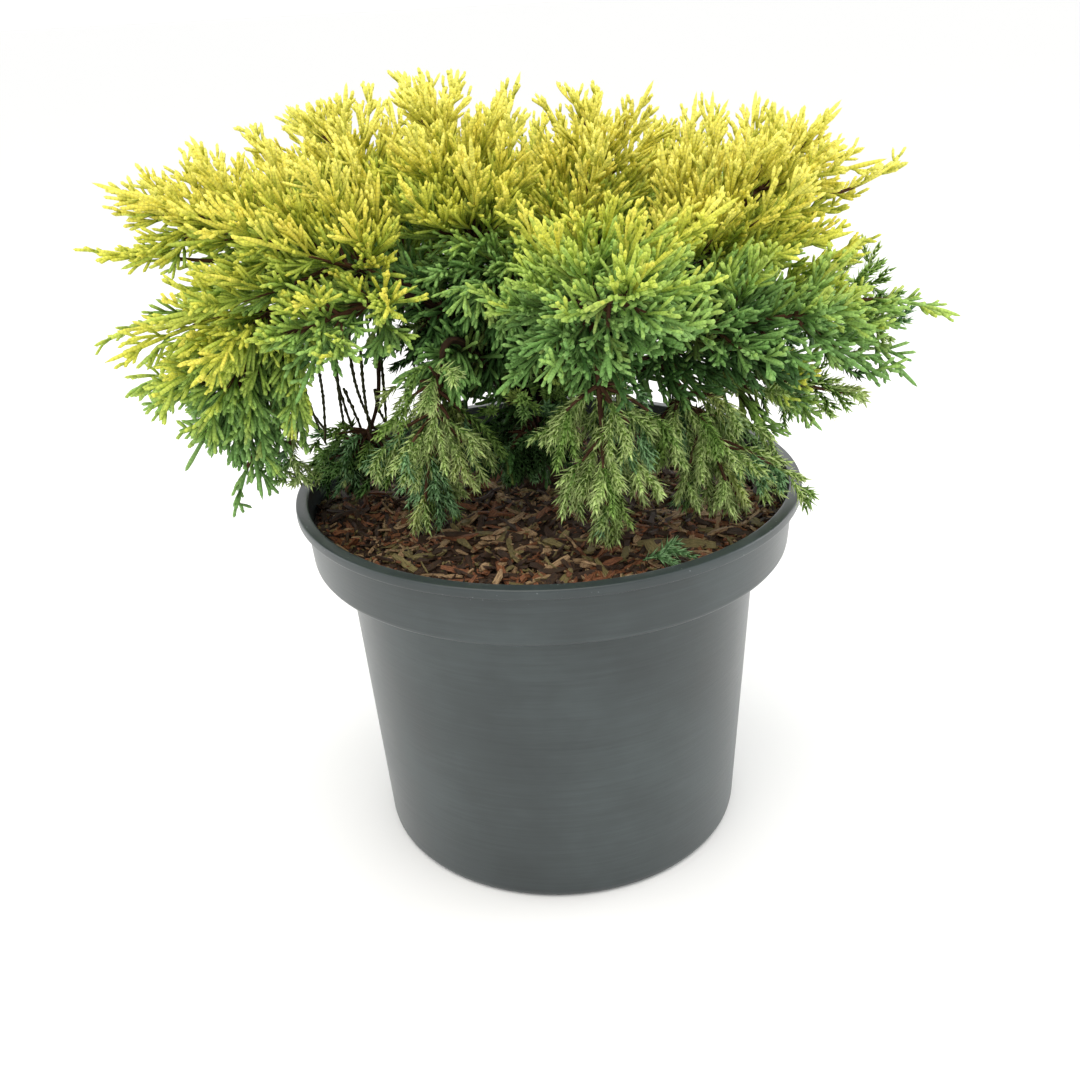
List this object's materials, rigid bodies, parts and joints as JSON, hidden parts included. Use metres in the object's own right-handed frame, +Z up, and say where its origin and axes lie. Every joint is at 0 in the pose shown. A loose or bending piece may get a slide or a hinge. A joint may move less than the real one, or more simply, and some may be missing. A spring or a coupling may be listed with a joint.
{
  "type": "potted pfitzer juniper",
  "caption": "Low, spreading golden juniper with arching boughs and drooping sprays, growing in a round dark nursery pot filled with bark mulch.",
  "frame": {"origin": "centre of the pot's flat underside", "axes": "+Z up along the pot's axis, -Y towards the pictured front of the plant"},
  "size_m": [0.3317, 0.2755, 0.3425],
  "materials": {
    "pot_plastic": "satin moulded polypropylene",
    "bark_mulch": "rough composted bark",
    "bark": "thin flaking bark",
    "foliage_gold": "waxy scale leaves",
    "foliage_lime": "waxy scale leaves",
    "foliage_green": "waxy scale leaves and short needles"
  },
  "bodies": {
    "root": {"bough_back_left": "bark", "bough_back_low": "bark", "bough_back_mid": "bark", "bough_back_right": "bark", "bough_centre_inner": "bark", "bough_front_droop_left": "bark", "bough_front_droop_right": "bark", "bough_front_fan": "bark", "bough_left_inner": "bark", "bough_left_low": "bark", "bough_left_top": "bark", "bough_rear_low_left": "bark", "bough_right_droop": "bark", "bough_right_far": "bark", "bough_right_low": "bark", "bough_right_mid": "bark", "bough_right_top": "bark", "bough_top_centre": "bark", "bough_top_left": "bark", "bough_top_right": "bark", "foliage_back_left": "foliage_lime", "foliage_back_low": "foliage_green", "foliage_back_mid": "foliage_lime", "foliage_back_right": "foliage_lime", "foliage_centre_inner": "foliage_lime", "foliage_centre_low": "foliage_green", "foliage_front_droop_left": "foliage_green", "foliage_front_droop_right": "foliage_green", "foliage_front_fan": "foliage_lime", "foliage_left_inner": "foliage_lime", "foliage_left_low": "foliage_green", "foliage_left_top": "foliage_gold", "foliage_rear_low_left": "foliage_green", "foliage_right_droop": "foliage_green", "foliage_right_far": "foliage_green", "foliage_right_low": "foliage_green", "foliage_right_mid": "foliage_lime", "foliage_right_top": "foliage_gold", "foliage_top_centre": "foliage_gold", "foliage_top_left": "foliage_gold", "foliage_top_right": "foliage_gold", "pot": "pot_plastic", "soil": "bark_mulch", "trunk": "bark"}
  },
  "joints": []
}
